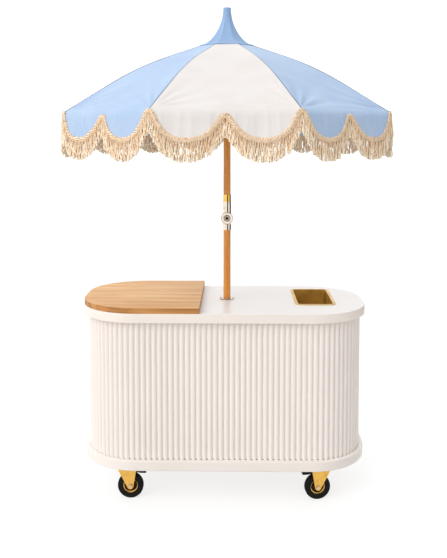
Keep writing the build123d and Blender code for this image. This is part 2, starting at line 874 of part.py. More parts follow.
# Canopy: an eight-sided cloth shell stretched over the ribs, with a vent under the cap
bend_slopes = [
    inner_slope + (outer_slope - inner_slope) * i / bend_steps for i in range(bend_steps + 1)
]
vent_inside = top_point(vent_radius - canopy_thickness, canopy_thickness)
canopy_outside = [top_point(vent_radius, 0)]
canopy_outside += [bend_point(slope, 0) for slope in bend_slopes]
canopy_outside += [eave_point(0, 0)]
canopy_inside = [(vent_inside[0], vent_inside[1] + 2 * canopy_thickness), vent_inside]
canopy_inside += [bend_point(slope, canopy_thickness) for slope in bend_slopes]
canopy_inside += [eave_point(0, canopy_thickness)]
with BuildPart() as canopy:
    for radius, height in canopy_outside:
        with BuildSketch(Plane.XY.offset(height)):
            RegularPolygon(radius, panel_count, rotation=first_rib_angle)
    loft(ruled=True)
    for radius, height in canopy_inside:
        with BuildSketch(Plane.XY.offset(height)):
            RegularPolygon(radius, panel_count, rotation=first_rib_angle)
    loft(ruled=True, mode=Mode.SUBTRACT)
canopy.part.label = "canopy"
export_step(canopy.part, "parts/canopy.step")

# Pagoda cap: a hollow, eight-sided cloth hat that flares out to its hem, on top of the post
cap_shares = [step / cap_steps for step in range(cap_steps + 1)]
cap_sections = [
    (
        cap_base_radius - (cap_base_radius - cap_top_radius) * (1 - share**cap_swell) ** cap_waist,
        cap_top_height - cap_height * share,
    )
    for share in cap_shares
]
with BuildPart() as pagoda_cap:
    for radius, height in cap_sections:
        with BuildSketch(Plane.XY.offset(height)):
            RegularPolygon(radius, panel_count, rotation=first_rib_angle)
    loft(ruled=True)
    with BuildSketch(Plane.XY.offset(cap_top_height - cap_top_thickness)):
        RegularPolygon(cap_top_radius - cap_wall, panel_count, rotation=first_rib_angle)
    for radius, height in cap_sections[1:]:
        with BuildSketch(Plane.XY.offset(height - cap_wall)):
            RegularPolygon(radius - cap_wall, panel_count, rotation=first_rib_angle)
    loft(ruled=True, mode=Mode.SUBTRACT)
pagoda_cap.part.label = "pagoda_cap"
export_step(pagoda_cap.part, "parts/pagoda_cap.step")

# Valance: at each rib two scallops of cloth hang from the eave, with a fringe below them
eave_distance = tip_radius * cos(radians(half_panel))
half_eave = tip_radius * sin(radians(half_panel))
valance_top = -valance_gap - valance_thickness * tan(radians(valance_flare))


def scallop(side, drop):
    """Points of a scallop's edge below the eave, from the rib to the panel's middle."""
    points = []
    for step in range(scallop_steps + 1):
        share = step / scallop_steps
        cusp_drop = rib_cusp_drop + (panel_cusp_drop - rib_cusp_drop) * share
        from_cusp = 1 - abs(1 - 2 * share)
        rounding = (1 + cusp_softness**2) * from_cusp**2 / (from_cusp**2 + cusp_softness**2)
        fullness = rounding * (1 - (1 - from_cusp) ** scallop_roundness)
        across = half_eave + (valance_gap - half_eave) * share
        points.append((side * across, -cusp_drop - (scallop_drop - cusp_drop) * fullness - drop))
    return points


for number, angle in enumerate(rib_angles, 1):
    with BuildPart() as valance:
        for side in (-1, 1):
            face_plane = valance_plane(angle - side * half_panel)
            edge = scallop(side, 0)
            with BuildSketch(face_plane):
                with BuildLine():
                    Spline(*edge)
                    Polyline(edge[-1], (edge[-1][0], valance_top), (edge[0][0], valance_top), edge[0])
                make_face()
            extrude(amount=-valance_thickness)
        for side in (-1, 1):
            face_plane = valance_plane(angle - side * half_panel)
            fringe_head = scallop(side, fringe_gap)
            fringe_ends = scallop(side, fringe_length)
            with BuildSketch(face_plane):
                with BuildLine():
                    Spline(*fringe_head)
                    Line(fringe_head[-1], fringe_ends[-1])
                    Spline(*fringe_ends)
                    Line(fringe_ends[0], fringe_head[0])
                make_face()
                with Locations(fringe_head[0]):
                    Rectangle(2 * fringe_thickness, 2 * fringe_length + scallop_drop, mode=Mode.SUBTRACT)
            extrude(amount=-fringe_thickness)
    valance.part.label = f"valance_{number}"
    export_step(valance.part, f"parts/valance_{number}.step")

# Joint places for the record, in millimetres and degrees
print(f"crown_pivot_radius {crown_pivot[0]:.4f}")
print(f"crown_pivot_height {crown_pivot[1]:.4f}")
print(f"strut_pivot_radius {strut_pivot[0]:.4f}")
print(f"strut_pivot_height {strut_pivot[1]:.4f}")
print(f"runner_pivot_height {runner_height:.4f}")
print(f"runner_travel {runner_travel:.4f}")
print(f"strut_turn {strut_turn:.4f}")
print(f"fold_angle {fold_angle:.4f}")
print(f"cap_top_height {cap_top_height:.4f}")
print(f"flutes {flute_count}")
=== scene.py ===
from itertools import count
from math import acos, atan, atan2, cos, exp, hypot, pi, radians, sin, sqrt, tan

import bmesh
import bpy
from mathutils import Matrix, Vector, noise


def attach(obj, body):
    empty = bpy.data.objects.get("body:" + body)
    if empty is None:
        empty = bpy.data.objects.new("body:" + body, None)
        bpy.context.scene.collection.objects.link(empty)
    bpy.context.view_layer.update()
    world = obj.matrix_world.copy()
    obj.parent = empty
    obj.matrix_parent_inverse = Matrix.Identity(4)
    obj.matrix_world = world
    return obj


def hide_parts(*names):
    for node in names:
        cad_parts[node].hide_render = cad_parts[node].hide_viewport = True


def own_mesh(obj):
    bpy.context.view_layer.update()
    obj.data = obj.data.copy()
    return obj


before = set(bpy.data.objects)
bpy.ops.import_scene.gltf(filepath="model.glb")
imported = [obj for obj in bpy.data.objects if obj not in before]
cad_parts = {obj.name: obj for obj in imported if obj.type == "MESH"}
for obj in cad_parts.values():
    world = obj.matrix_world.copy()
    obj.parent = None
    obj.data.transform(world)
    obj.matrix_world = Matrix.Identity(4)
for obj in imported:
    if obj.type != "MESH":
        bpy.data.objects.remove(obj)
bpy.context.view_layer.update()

# Camera that the photograph's points fit: pixels of its 447 by 558 frame, metres and degrees
photo_height = 558
focal_pixels = 807.3
principal_row = 187.2
camera_place = (0.0390, -4.0713, 1.7853)
camera_pitch = 4
camera_turn = 0.8
camera_far = 200
sensor_size = 36

# Canopy's ridge line over each rib, in metres
panel_count = 8
half_panel = pi / panel_count
first_rib = half_panel
tip_radius = 0.805
eave_height = 1.880
outer_slope = radians(31.6)
inner_slope = radians(19.2)
bend_start = 0.300
bend_end = 0.600
vent_radius = 0.075
bend_radius = (bend_end - bend_start) / (sin(outer_slope) - sin(inner_slope))
bend_centre_radius = bend_end - bend_radius * sin(outer_slope)
bend_end_height = eave_height + (tip_radius - bend_end) * tan(outer_slope)
bend_centre_height = bend_end_height - bend_radius * cos(outer_slope)
half_eave = tip_radius * sin(half_panel)
eave_fall = atan(tan(outer_slope) / cos(half_panel))
up = Vector((0, 0, 1))
side_names = {-1: "left", 1: "right"}

# Canopy cloth: its thickness and mesh
cloth_thickness = 0.0012
weld_distance = 0.000001
cloth_sharp_angle = radians(50)
side_columns = 34
rib_crowding = 1.3
eave_crowding = 1.4

# Canopy cloth: sag, seam tape, creases from the rib tips and ripples
sag_share = 0.026
eave_hold = 0.5
tape_width = 0.008
tape_rise = 0.0008
crease_waves = 9
crease_reach = 0.085
crease_depth = {"blue": 0.0042, "white": 0.0026}
crease_wobble = 0.6
crease_wobble_scale = 9
crease_seed = 3.1
rib_fade_share = 0.08
eave_fade_length = 0.035
ripple_depth = 0.0014
ripple_scale_across = 7
ripple_scale_out = 5
ripple_seed = 9.7

# Canopy lengths: each panel half is an upper and a lower length of cloth split at the fold radius, and the
# lower one tucks in behind the valance; the keep, dip and flat shares of a fold are not used here
fold_radius = 0.44
upper_rows = 26
upper_fold_keep = 0.46
upper_flat = (0.18, 0.40)
lower_rows = 46
lower_fold_keep = 0.25
lower_fold_dip = radians(8)
lower_flat = (0.32, 0.47)
tuck_drop = 0.030
tuck_reach = 0.42
tuck_share = 0.8
tuck_rows = 5

# Valance: drops below the eave, the curl over it, the hem under the canopy, and the offset of a fold corner
# beside the rib's tip
rib_cusp_drop = 0.008
panel_cusp_drop = 0.024
scallop_drop = 0.126
scallop_roundness = 2.6
cusp_softness = 0.12
curl_drop = 0.030
hang_slope = radians(80)
valance_columns = 54
valance_rows = 14
hem_length = 0.085
hem_gap = 0.0006
hem_rows = 8
hem_start = 0.08
hem_ramp = 0.3
valance_fold_corner = 0.0054

# Valance: soft waves and pleats of the cloth
valance_wave = 0.0045
swing_scale = 11
swing_seed = 5.3
swing_offset = 0.4
sway_share = 0.5
sway_rate = 41
pleat_depth = 0.0030
pleat_scale = 24
pleat_seed = 7.7
pleat_offset = 2.1
pleat_sharpness = 7

# Cotton fringe: strands along the scallops
strand_pitch = 0.0033
strand_length = 0.093
strand_thickness = 0.0058
strand_row_gap = 0.0064
strand_points = 9
strand_sides = 6
strand_sways = ((5.0, 0.7), (9.0, 0.45))
strand_swell = 0.5
strand_head = -0.2
strand_flatness = 0.6
girth_range = (0.82, 1.12)
length_range = (0.91, 1.0)
twist_range = (-0.6, 0.6)
lean_ranges = ((-0.06, 0.06), (-0.04, 0.04))
seed_step = 31.0
first_seed = 11
fringe_middle_gap = 0.0004
fringe_rib_lap = 0.003
fringe_steps = 70

# Braid over the heads of the strands
braid_height = 0.024
braid_thickness = 0.0105
braid_below = 0.25
braid_step = 0.004
braid_sides = 10

# Pagoda cap
cap_base_radius = 0.143
cap_top_radius = 0.019
cap_base_height = 2.2066
cap_height = 0.190
cap_swell = 1.8
cap_waist = 0.6
cap_wall = 0.0016
cap_hollow = 0.035
cap_eyelet = 0.0004
cap_top_rings = ((0.008, 0.0), (0.015, 0.0), (0.0178, 0.0007))
cap_top_fall = 0.0025
cap_squaring_length = 0.02
cap_flat_offset = 0.5
cap_facet_columns = 10
cap_rows = 30
cap_crowding = 1.2

# Casters: places on the floor, headings and the axle
cart_offset = -0.013
caster_headings = {"front_left": 0, "front_right": 188, "rear_left": -6, "rear_right": 176}
caster_spread = 0.474
caster_stance = 0.245
caster_trail = 0.020
axle_height = 0.0625

# Heights of the tilt joint's pivot, the base slab's top and the cutting board's top edge
tilt_height = 1.345
base_top = 0.220
board_edge_height = 0.9570

# Finishes: where one colour passes into the next, and the CAD meshes' shading
# Painted shade at the flutes' foot: it starts this far above the foot and is full at the next height
foot_shade_top = 0.0045
foot_shade_full = 0.0025
edge_blur = 0.0015
ring_blur = 0.0004
seam_blur_share = 0.7
pore_fineness = 4.2
cad_weld_distance = 0.00001
cad_sharp_angle = radians(32)

# Studio: floor, sky, sun, and dark cards given by place, turn in degrees and width
white = (1, 1, 1, 1)
floor_size = 60
floor_rgb = (214, 212, 210)
floor_glow = 0.75
floor_shown = (0.30, 0.30, 0.30, 1)
sky_front = 0.6
sky_back = 1.3
sky_turn_start = -0.1
sky_turn_end = 0.5
sun_strength = 1.68
sun_softness = radians(50)
sun_colour = (1.0, 0.985, 0.965)
sun_direction = (0.57, 0.58, -0.58)
card_height = 1.5
card_places = (((1.6, -4.0, 0.95), 0, 2.76), ((2.6, 1.15, 1.0), 114, 4.1))


def smooth(share):
    """Eases from 0 to 1."""
    share = min(1.0, max(0.0, share))
    return share * share * (3 - 2 * share)


def linear(rgb, keep=1.0):
    """A screen colour, 0 to 255, as the shader's numbers; keep below 1 darkens it."""
    return tuple(((keep * c / 255 + 0.055) / 1.055) ** 2.4 for c in rgb) + (1.0,)


class Tree:
    """A node tree and short ways to add nodes to it."""

    def __init__(self, tree):
        self.tree = tree

    def feed(self, node, inputs):
        for key, value in inputs.items():
            if isinstance(value, bpy.types.NodeSocket):
                self.tree.links.new(value, node.inputs[key])
            else:
                node.inputs[key].default_value = value

    def node(self, kind, inputs, **settings):
        made = self.tree.nodes.new(kind)
        for key, value in settings.items():
            setattr(made, key, value)
        self.feed(made, inputs)
        return made

    def out(self, kind, inputs, **settings):
        return self.node(kind, inputs, **settings).outputs[0]

    def calc(self, operation, *values):
        return self.out("ShaderNodeMath", dict(enumerate(values)), operation=operation)

    def span(self, value, low, high, out_low=0.0, out_high=1.0):
        return self.out("ShaderNodeMapRange", {0: value, 1: low, 2: high, 3: out_low, 4: out_high})

    def split(self, vector):
        return self.node("ShaderNodeSeparateXYZ", {0: vector}).outputs

    def vector(self, x, y, z):
        return self.out("ShaderNodeCombineXYZ", {0: x, 1: y, 2: z})


class Finish(Tree):
    """A procedural material: one shader and the patterns that feed it."""

    def __init__(self, name, roughness, metallic=0.0):
        self.material = bpy.data.materials.new(name)
        self.material.use_nodes = True
        super().__init__(self.material.node_tree)
        self.shader = self.tree.nodes["Principled BSDF"]
        self.normal = None
        self.give(Roughness=roughness, Metallic=metallic)

    def give(self, **inputs):
        self.feed(self.shader, {key.replace("_", " "): value for key, value in inputs.items()})

    def coords(self, output="Object", **mapping):
        source = self.node("ShaderNodeTexCoord", {}).outputs[output]
        if not mapping:
            return source
        kind = mapping.pop("kind", "POINT")
        return self.out("ShaderNodeMapping", {"Vector": source, **mapping}, vector_type=kind)

    def mark(self, name):
        return self.node("ShaderNodeAttribute", {}, attribute_name=name).outputs["Fac"]

    def noise(self, vector, scale, detail, distortion=0.0):
        settings = {"Vector": vector, "Scale": scale, "Detail": detail, "Distortion": distortion}
        return self.node("ShaderNodeTexNoise", settings).outputs["Fac"]

    def bands(self, vector, scale, direction, distortion=0.0):
        settings = {"Vector": vector, "Scale": scale, "Distortion": distortion}
        return self.node("ShaderNodeTexWave", settings, bands_direction=direction).outputs["Fac"]

    def blend(self, factor, first, second):
        made = self.node("ShaderNodeMix", {0: factor, 6: first, 7: second}, data_type="RGBA")
        return made.outputs[2]

    def colour(self, value):
        self.give(Base_Color=value)

    def bump(self, height, distance, strength):
        inputs = {"Height": height, "Distance": distance, "Strength": strength}
        if self.normal is not None:
            inputs["Normal"] = self.normal
        self.normal = self.out("ShaderNodeBump", inputs)
        self.give(Normal=self.normal)


def lacquer(name, rgb, shade, roughness, side=None, foot=None):
    """Faintly mottled paint; where asked, upright sides get a darker white as painted shade, and grooves get
    painted shade at the foot.
    """
    paint = Finish(name, roughness)
    place = paint.coords()
    mottle = paint.noise(place, scale=5, detail=4)
    colour = paint.blend(paint.span(mottle, low=0.35, high=0.7), linear(rgb), linear(shade))
    # Painted shade: upright sides take a darker white than the top
    if side:
        upward = paint.split(paint.coords("Normal"))["Z"]
        colour = paint.blend(paint.span(upward, low=0.3, high=0.8), linear(side), colour)
    # Painted shade: grooves darken near the foot, where the flutes meet the base slab
    if foot:
        foot_height, foot_shade_rgb = foot
        height = paint.split(place)["Z"]
        sideways = paint.split(paint.coords("Normal"))["X"]
        groove = paint.span(paint.calc("ABSOLUTE", sideways), low=0.5, high=0.85)
        foot_shade_share = paint.span(height, low=foot_height + foot_shade_top, high=foot_height + foot_shade_full)
        colour = paint.blend(paint.calc("MULTIPLY", groove, foot_shade_share), colour, linear(foot_shade_rgb))
    paint.colour(colour)
    peel = paint.noise(place, scale=260, detail=2)
    paint.bump(peel, distance=0.0002, strength=0.15)
    return paint.material


def timber(name, pale, dark, grain, roughness=0.5, edge=None):
    """Wood with long grain: grain is how closely the pattern runs along each axis."""
    wood = Finish(name, roughness)
    streak = wood.noise(wood.coords(Scale=grain), scale=1.0, detail=6, distortion=0.5)
    colour = wood.blend(wood.span(streak, low=0.32, high=0.68), linear(dark), linear(pale))
    fine_grain = tuple(pore_fineness * g for g in grain)
    pores = wood.noise(wood.coords(Scale=fine_grain), scale=1.0, detail=3)
    pore_share = wood.span(pores, low=0.56, high=0.72, out_high=0.45)
    colour = wood.blend(pore_share, colour, linear(dark, keep=0.8))
    # Painted shade: upright sides below the edge height take a darker brown
    if edge:
        edge_height, edge_shade_rgb = edge
        height = wood.split(wood.coords())["Z"]
        edge_shade_colour = wood.blend(wood.span(streak, low=0.3, high=0.7), linear(edge_shade_rgb), linear(dark))
        side = wood.span(height, low=edge_height, high=edge_height - edge_blur)
        colour = wood.blend(side, colour, edge_shade_colour)
    wood.colour(colour)
    smoothest, roughest = roughness - 0.06, roughness + 0.1
    wood.give(Roughness=wood.span(pores, low=0.3, high=0.7, out_low=smoothest, out_high=roughest))
    wood.bump(streak, distance=0.0006, strength=0.25)
    wood.bump(pores, distance=0.0003, strength=0.3)
    return wood.material


def metal(name, rgb, stain, roughness, brush=(60, 60, 60), metallic=1.0):
    """Bare or plated metal with faint stains and a fine brushing."""
    plate = Finish(name, roughness, metallic)
    stains = plate.noise(plate.coords(), scale=14, detail=4)
    plate.colour(plate.blend(plate.span(stains, low=0.4, high=0.75), linear(rgb), linear(stain)))
    lines = plate.noise(plate.coords(Scale=brush), scale=1.0, detail=2)
    smoothest, roughest = roughness - 0.05, roughness + 0.08
    plate.give(Roughness=plate.span(lines, low=0.3, high=0.7, out_low=smoothest, out_high=roughest))
    plate.bump(lines, distance=0.0001, strength=0.2)
    return plate.material


def moulded(name, rgb, worn, roughness, grain, shine):
    """Rubber, plastic, enamel or dark cloth with a grain and paler wear."""
    skin = Finish(name, roughness)
    skin.give(Specular_IOR_Level=shine)
    place = skin.coords()
    scuffs = skin.noise(place, scale=30, detail=5)
    skin.colour(skin.blend(skin.span(scuffs, low=0.55, high=0.8), linear(rgb), linear(worn)))
    skin.bump(skin.noise(place, scale=grain, detail=2), distance=0.0003, strength=0.3)
    return skin.material


def ringed(name, axle, heading, outside, rings, roughness=0.34):
    """Plated round shape: each ring's colour fills the space within its distance from the axle."""
    plate = Finish(name, roughness, metallic=1.0)
    parts = plate.split(plate.coords(kind="TEXTURE", Location=axle, Rotation=(0, 0, heading)))
    squares = [plate.calc("POWER", parts[axis], 2.0) for axis in "XZ"]
    reach = plate.calc("SQRT", plate.calc("ADD", *squares))
    grime = plate.noise(plate.coords(), scale=45, detail=4)
    stain = plate.span(grime, low=0.45, high=0.8, out_high=0.5)

    def stained(rgb):
        return plate.blend(stain, linear(rgb), linear(rgb, keep=0.72))

    colour = stained(outside)
    for radius, rgb in rings:
        within = plate.span(reach, low=radius, high=radius - ring_blur)
        colour = plate.blend(within, colour, stained(rgb))
    plate.colour(colour)
    smoothest, roughest = 0.8 * roughness, 1.3 * roughness
    plate.give(Roughness=plate.span(grime, low=0.3, high=0.7, out_low=smoothest, out_high=roughest))
    plate.bump(plate.noise(plate.coords(), scale=400, detail=2), distance=0.0001, strength=0.25)
    return plate.material


def canvas(name, rgb, shade, seam_rgb, seam_width):
    """Woven canopy cloth: plain weave, faint fading and a stitched seam beside each rib."""
    cloth = Finish(name, roughness=0.82)
    cloth.give(Sheen_Weight=0.12, Sheen_Roughness=0.5)
    flat = cloth.coords("UV")
    from_seam = cloth.calc("ABSOLUTE", cloth.split(flat)["X"])
    fading = cloth.noise(cloth.coords(), scale=4.5, detail=4, distortion=0.4)
    colour = cloth.blend(cloth.span(fading, low=0.35, high=0.7), linear(rgb), linear(shade))
    slub = cloth.noise(cloth.coords("UV", Scale=(700, 40, 1)), scale=1.0, detail=2)
    slub_share = cloth.span(slub, low=0.5, high=0.8, out_high=0.12)
    colour = cloth.blend(slub_share, colour, linear(rgb, keep=0.86))
    seam = cloth.span(from_seam, low=seam_width, high=seam_blur_share * seam_width)
    stitches = cloth.bands(cloth.coords("UV", Scale=(0, 1, 0)), scale=62, direction="Y")
    stitch_run = cloth.span(stitches, low=0.3, high=0.5, out_low=0.6)
    colour = cloth.blend(cloth.calc("MULTIPLY", seam, stitch_run), colour, linear(seam_rgb))
    cloth.colour(colour)
    weave = [cloth.bands(flat, scale=260, direction=direction) for direction in "XY"]
    cloth.bump(cloth.calc("MAXIMUM", *weave), distance=0.00012, strength=0.4)
    cloth.bump(seam, distance=0.0005, strength=0.4)
    return cloth.material


def cotton(name, pale, dark, fleck):
    """Twisted cotton cord: each strand its own tone, brown flecks of painted shade, a head darkened as
    painted shade, a paler foot, and ply across it.
    """
    yarn = Finish(name, roughness=0.9)
    yarn.give(Sheen_Weight=0.2, Sheen_Roughness=0.6)
    along = yarn.mark("along")
    # Painted shade: the strand darkens towards its head, near the braid; it pales towards its foot
    head = yarn.span(along, low=0.1, high=0.5, out_low=0.8, out_high=0.0)
    foot = yarn.span(along, low=0.8, high=0.95, out_high=0.7)
    # Painted shade: brown flecks stand for the shade in the gaps between tangled strands
    shade_flecks = yarn.noise(yarn.coords(Scale=(1, 1, 0.6)), scale=170, detail=2)
    shade_fleck_share = yarn.span(shade_flecks, low=0.54, high=0.68, out_high=0.68)
    colour = yarn.blend(yarn.mark("tone"), linear(dark), linear(pale))
    colour = yarn.blend(head, colour, linear(dark, keep=0.9))
    colour = yarn.blend(foot, colour, linear(pale))
    yarn.colour(yarn.blend(shade_fleck_share, colour, linear(fleck)))
    ply = yarn.bands(yarn.coords(Scale=(1, 1, 0.35)), scale=330, direction="DIAGONAL", distortion=1.5)
    yarn.bump(ply, distance=0.0006, strength=0.25)
    return yarn.material


def woven_braid(name, pale, dark, fleck):
    """Narrow woven braid: slanting plaits over a soft cotton band."""
    band = Finish(name, roughness=0.88)
    leaning = [band.coords(Scale=(1, 1, rise)) for rise in (1, -1)]
    slants = [band.bands(place, scale=70, direction="DIAGONAL", distortion=1.0) for place in leaning]
    plaits = band.calc("MAXIMUM", *slants)
    tufts = band.noise(band.coords(), scale=160, detail=2)
    tuft_share = band.span(tufts, low=0.52, high=0.66, out_high=0.7)
    colour = band.blend(band.span(plaits, low=0.55, high=0.9), linear(dark), linear(pale))
    band.colour(band.blend(tuft_share, colour, linear(fleck)))
    band.bump(plaits, distance=0.0012, strength=0.7)
    band.bump(tufts, distance=0.0005, strength=0.4)
    return band.material


# Paint
# Painted shade on the counter's upright sides, which take a darker white than its top
counter_side_shade = (244, 235, 227)
counter_paint = lacquer(
    "counter_white_lacquer", (250, 246, 243), shade=(248, 244, 240), roughness=0.32, side=counter_side_shade
)
base_paint = lacquer("base_white_lacquer", (242, 235, 229), shade=(239, 231, 224), roughness=0.4)
# Painted shade at the feet of the flute grooves, just above the base slab's top
flute_foot_shade = (base_top, (96, 100, 112))
flute_paint = lacquer(
    "fluted_white_lacquer", (243, 236, 231), shade=(241, 233, 228), roughness=0.42, foot=flute_foot_shade
)

# Wood
# Painted shade: the cutting board's sides below its top edge are a dark brown
board_edge_shade = (board_edge_height, (132, 78, 24))
plywood = timber("birch_plywood", pale=(222, 196, 158), dark=(190, 156, 112), grain=(3, 30, 30))
oak = timber("oak_board", pale=(243, 195, 132), dark=(213, 152, 84), grain=(2.2, 38, 38), edge=board_edge_shade)
pole_wood = timber(
    "pole_hardwood", pale=(246, 175, 90), dark=(214, 130, 50), grain=(46, 46, 2.4), roughness=0.24
)
frame_wood = timber("frame_hardwood", pale=(206, 160, 108), dark=(168, 118, 68), grain=(26, 26, 26))

# Metal; rings are radii and colours about the tilt joint's pivot
upright_brush = (14, 14, 220)
brass = metal(
    "brushed_brass", (222, 184, 98), stain=(186, 146, 66), roughness=0.38, brush=upright_brush, metallic=0.8
)
polished_brass = metal(
    "polished_brass", (244, 204, 112), stain=(222, 178, 84), roughness=0.1, brush=upright_brush
)
satin_chrome = metal("satin_chrome", (196, 184, 170), stain=(166, 154, 142), roughness=0.2)
tilt_pivot = (0, 0, tilt_height)
chrome_rgb = (240, 227, 212)
# Painted reflection and shade on the knuckles: a dark ring at the boss's edge and a dark ring for its groove
knuckle_shade_rings = [
    (0.0306, (138, 116, 100)),
    (0.0280, chrome_rgb),
    (0.0174, (78, 58, 46)),
    (0.0136, (216, 200, 186)),
]
chrome = ringed("chrome_plate", tilt_pivot, 0, chrome_rgb, knuckle_shade_rings, roughness=0.06)
button_rings = [(0.0070, (44, 32, 26))]
button_metal = ringed("button_metal", tilt_pivot, 0, (184, 164, 148), button_rings)

# Black enamel, plastic and rubber
black_steel = moulded("black_enamel", (20, 18, 16), worn=(38, 35, 32), roughness=0.5, grain=240, shine=0.3)
black_plastic = moulded(
    "black_plastic", (16, 14, 12), worn=(30, 27, 24), roughness=0.6, grain=320, shine=0.2
)
rubber = moulded("black_rubber", (14, 11, 7), worn=(28, 23, 17), roughness=0.7, grain=180, shine=0.2)

# Cloth
white_seam = {"seam_rgb": (206, 206, 212), "seam_width": 0.0016}
blue_seam = {"seam_rgb": (46, 66, 104), "seam_width": 0.0084}
cap_seam = {"seam_rgb": (108, 130, 166), "seam_width": 0.0016}
canvas_colours = {
    "white": canvas("white_canvas", (234, 230, 228), shade=(227, 222, 219), **white_seam),
    "blue": canvas("light_blue_canvas", (179, 202, 231), shade=(169, 194, 227), **blue_seam),
}
cap_canvas = canvas("cap_blue_canvas", (151, 181, 220), shade=(139, 170, 212), **cap_seam)
# Painted shade: the strands' fleck colour is the brown of the shaded gaps between them
strand_cotton = cotton("fringe_cotton", pale=(255, 246, 226), dark=(250, 216, 176), fleck=(196, 134, 74))
braid_cotton = woven_braid("braid_cotton", pale=(255, 238, 212), dark=(214, 172, 128), fleck=(168, 116, 68))

# Finishes of the pieces that keep their CAD shape
node_finishes = {
    "counter_top": counter_paint,
    "base_slab": base_paint,
    "fluted_cladding": flute_paint,
    "cabinet_wall": plywood,
    "shelf": plywood,
    "shelf_cleats": plywood,
    "cutting_board": oak,
    "lower_pole": pole_wood,
    "upper_pole": pole_wood,
    "drop_in_bin": brass,
    "brass_collar": polished_brass,
    "pole_socket": satin_chrome,
    "socket_screws": satin_chrome,
    "lower_knuckle": chrome,
    "upper_knuckle": chrome,
    "tilt_button": button_metal,
    "caster_plates": black_steel,
    "caster_bolts": black_steel,
    "crown_hub": black_plastic,
    "runner": black_plastic,
}
for number in range(1, panel_count + 1):
    node_finishes[f"rib_{number}"] = frame_wood
    node_finishes[f"strut_{number}"] = frame_wood
fork_gold = (237, 187, 93)
# A pale axle head painted on each fork, ringed by a dark line of painted shade
fork_nut_and_shade_rings = [(0.0112, (150, 104, 48)), (0.0098, (222, 190, 150))]
hub_black = (24, 20, 16)
hub_rings = [(0.0348, (244, 214, 140)), (0.0322, (46, 32, 20)), (0.0135, (226, 178, 92))]
for corner, degrees_turned in caster_headings.items():
    heading = radians(degrees_turned)
    side_x = caster_spread if "right" in corner else -caster_spread
    side_y = caster_stance if "rear" in corner else -caster_stance
    axle_x = cart_offset + side_x + caster_trail * cos(heading)
    axle_y = side_y + caster_trail * sin(heading)
    axle = (axle_x, axle_y, axle_height)
    node_finishes[f"{corner}_fork"] = ringed(f"{corner}_fork_gold", axle, heading, fork_gold, fork_nut_and_shade_rings)
    node_finishes[f"{corner}_hub"] = ringed(f"{corner}_hub_gold", axle, heading, hub_black, hub_rings)
    node_finishes[f"{corner}_tyre"] = rubber
    if "front" in corner:
        node_finishes[f"{corner}_brake_pedal"] = black_plastic


def rounded_shading():
    """Welds a CAD mesh's triangles and shades it smooth, except at edges sharper than the limit."""
    group = bpy.data.node_groups.new("rounded_shading", "GeometryNodeTree")
    for way in ("INPUT", "OUTPUT"):
        group.interface.new_socket("Mesh", in_out=way, socket_type="NodeSocketGeometry")
    build = Tree(group)
    given = build.out("NodeGroupInput", {})
    weld = build.out("GeometryNodeMergeByDistance", {"Geometry": given, "Distance": cad_weld_distance})
    angle = build.node("GeometryNodeInputMeshEdgeAngle", {}).outputs["Unsigned Angle"]
    soft = build.out("FunctionNodeCompare", {0: angle, 1: cad_sharp_angle}, operation="LESS_THAN")
    faces = build.out("GeometryNodeSetShadeSmooth", {"Geometry": weld}, domain="FACE")
    edges = build.out("GeometryNodeSetShadeSmooth", {"Geometry": faces, "Shade Smooth": soft}, domain="EDGE")
    build.node("NodeGroupOutput", {0: edges})
    return group


cad_shading = rounded_shading()
for name, finish in node_finishes.items():
    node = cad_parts[name]
    if not node.material_slots:
        node.data.materials.append(finish)
    for slot in node.material_slots:
        slot.material = finish
    node.modifiers.new("rounded_shading", "NODES").node_group = cad_shading


def ridge(radius):
    """Height and slope of the canopy's ridge at this distance from the pole."""
    if radius >= bend_end:
        return eave_height + (tip_radius - radius) * tan(outer_slope), outer_slope
    if radius > bend_start:
        reach = radius - bend_centre_radius
        height = bend_centre_height + sqrt(bend_radius**2 - reach**2)
        return height, atan2(reach, height - bend_centre_height)
    start_height = bend_centre_height + bend_radius * cos(inner_slope)
    return start_height + (bend_start - radius) * tan(inner_slope), inner_slope


def panel_colour(panel):
    """Colours take turns round the canopy."""
    return "blue" if panel % 2 else "white"


def drift(x, y, z):
    """Soft noise, about -1 to 1."""
    return noise.noise(Vector((x, y, z)))


def cloth_lift(panel, across, radius):
    """How far the cloth stands off its flat panel: sag, creases from the rib tips, ripples and seam tape."""
    half = radius * sin(half_panel)
    share = 1 - abs(across) / half
    slack = sag_share * half * (1 - eave_hold * smooth((radius - bend_end) / (tip_radius - bend_end)))
    lift = -slack * share * (2 - share)
    up_slope = (tip_radius - radius) / cos(outer_slope)
    fade = smooth(share / rib_fade_share) * smooth(up_slope / eave_fade_length)
    for side in (-1, 1):
        from_tip = half_eave - side * across
        reach = hypot(from_tip, up_slope)
        turn = atan2(from_tip, up_slope) / (pi / 2)
        swell = reach / crease_reach * exp(1 - reach / crease_reach)
        wobble = crease_wobble * drift(reach * crease_wobble_scale, panel * crease_seed, side)
        lift += crease_depth[panel_colour(panel)] * swell * fade * sin(crease_waves * pi * turn + wobble)
    ripple = drift(across * ripple_scale_across, radius * ripple_scale_out, panel * ripple_seed)
    lift += ripple_depth * fade * ripple
    return lift + tape_rise * (1 - smooth((half - abs(across)) / tape_width))


def panel_axes(panel):
    """Directions out from the pole and along the eave, at a panel's middle."""
    middle = 2 * half_panel * panel
    return Vector((cos(middle), sin(middle), 0)), Vector((-sin(middle), cos(middle), 0))


def canopy_point(panel, across, radius, depth=0.0):
    """Point of the cloth in a panel: across runs along the eave from the panel's middle."""
    out, along = panel_axes(panel)
    height, slope = ridge(radius)
    fall = atan(tan(slope) / cos(half_panel))
    square = out * sin(fall) + up * cos(fall)
    flat = out * (radius * cos(half_panel)) + along * across + up * height
    return flat + square * (cloth_lift(panel, across, radius) - depth)


